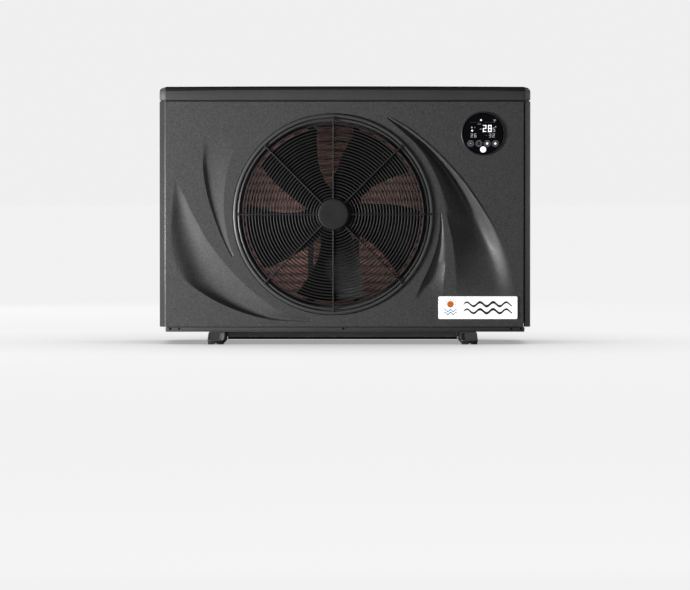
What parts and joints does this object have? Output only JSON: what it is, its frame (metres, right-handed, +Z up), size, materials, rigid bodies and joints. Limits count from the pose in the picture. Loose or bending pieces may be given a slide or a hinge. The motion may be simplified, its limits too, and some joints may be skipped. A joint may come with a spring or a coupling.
{
  "type": "pool heat pump",
  "caption": "Free-standing side-discharge pool heat pump with a sculpted front panel, a guarded axial fan, a round touch display and rear water unions",
  "frame": {"origin": "on the floor, under the middle of the unit's bounding box", "axes": "+X to the right seen from the front, +Y from the front (fan side) to the rear, +Z up"},
  "size_m": [0.96, 0.442, 0.668],
  "materials": {
    "panel_grey": "fine-grained moulded skin",
    "lid_black": "satin",
    "cabinet_grey": "fine powder coat",
    "guard_black": "powder-coated wire",
    "fan_black": "moulded, satin",
    "fin_copper": "copper-coloured coated fins",
    "copper": "drawn copper tube",
    "galvanised": "galvanised sheet",
    "rubber_black": "moulded",
    "display_black": "tinted front glass",
    "badge_white": "satin print plate",
    "steel": "turned",
    "enamel_black": "enamel",
    "pipe_grey": "moulded rigid plastic",
    "board_green": "solder mask",
    "brass": "machined",
    "needle_red": "painted",
    "lens_clear": "clear"
  },
  "bodies": {
    "cabinet": {"front_panel": "panel_grey", "fan_orifice_ring": "panel_grey", "display_bezel": "panel_grey", "top_cover": "lid_black", "header_frame": "cabinet_grey", "left_side_panel": "cabinet_grey", "right_side_panel": "cabinet_grey", "terminal_cover": "cabinet_grey", "rear_service_panel": "cabinet_grey", "base_pan": "cabinet_grey", "foot_rail_left": "cabinet_grey", "foot_rail_right": "cabinet_grey", "fan_guard": "guard_black", "guard_centre_disc": "guard_black", "rear_coil_guard": "guard_black", "evaporator_coil": "fin_copper", "coil_header": "copper", "discharge_pipe": "copper", "suction_pipe": "copper", "liquid_pipe": "copper", "motor_stator": "copper", "motor_bracket": "galvanised", "coil_end_plate_left": "galvanised", "coil_end_plate_right": "galvanised", "partition_plate": "galvanised", "electrical_box": "galvanised", "rear_crossbar": "galvanised", "rubber_pad_front_left": "rubber_black", "rubber_pad_front_right": "rubber_black", "rubber_pad_rear_left": "rubber_black", "rubber_pad_rear_right": "rubber_black", "compressor_mount_1": "rubber_black", "compressor_mount_2": "rubber_black", "compressor_mount_3": "rubber_black", "display_glass": "display_black", "name_plate": "badge_white", "motor_bearing_front": "steel", "motor_bearing_rear": "steel", "motor_housing": "enamel_black", "motor_end_cap": "enamel_black", "compressor": "enamel_black", "accumulator": "enamel_black", "gauge_case": "enamel_black", "heat_exchanger": "pipe_grey", "union_tail_inlet": "pipe_grey", "union_tail_outlet": "pipe_grey", "drain_spout": "pipe_grey", "cable_gland": "pipe_grey", "display_module": "pipe_grey", "control_board": "board_green", "four_way_valve": "brass", "expansion_valve": "brass", "gauge_lens": "lens_clear"},
    "fan": {"fan_impeller": "fan_black", "fan_lock_nut": "steel", "motor_shaft": "steel", "motor_rotor": "steel"},
    "inlet_nut": {"union_nut_inlet": "pipe_grey"},
    "outlet_nut": {"union_nut_outlet": "pipe_grey"},
    "pressure_needle": {"gauge_needle": "needle_red"}
  },
  "joints": [
    {"name": "fan_spin", "type": "hinge", "parent": "cabinet", "child": "fan", "pos_m": [-0.03, -0.119, 0.3365], "axis": [0, 1, 0], "continuous": true},
    {"name": "inlet_nut_turn", "type": "hinge", "parent": "cabinet", "child": "inlet_nut", "pos_m": [0.42, 0.206, 0.14], "axis": [0, 1, 0], "continuous": true},
    {"name": "outlet_nut_turn", "type": "hinge", "parent": "cabinet", "child": "outlet_nut", "pos_m": [0.42, 0.206, 0.36], "axis": [0, 1, 0], "continuous": true},
    {"name": "gauge_needle_swing", "type": "hinge", "parent": "cabinet", "child": "pressure_needle", "pos_m": [0.29, 0.156, 0.56], "axis": [0, 1, 0], "range_deg": [-135, 135], "stiffness_Nm_per_rad": 0.001}
  ]
}
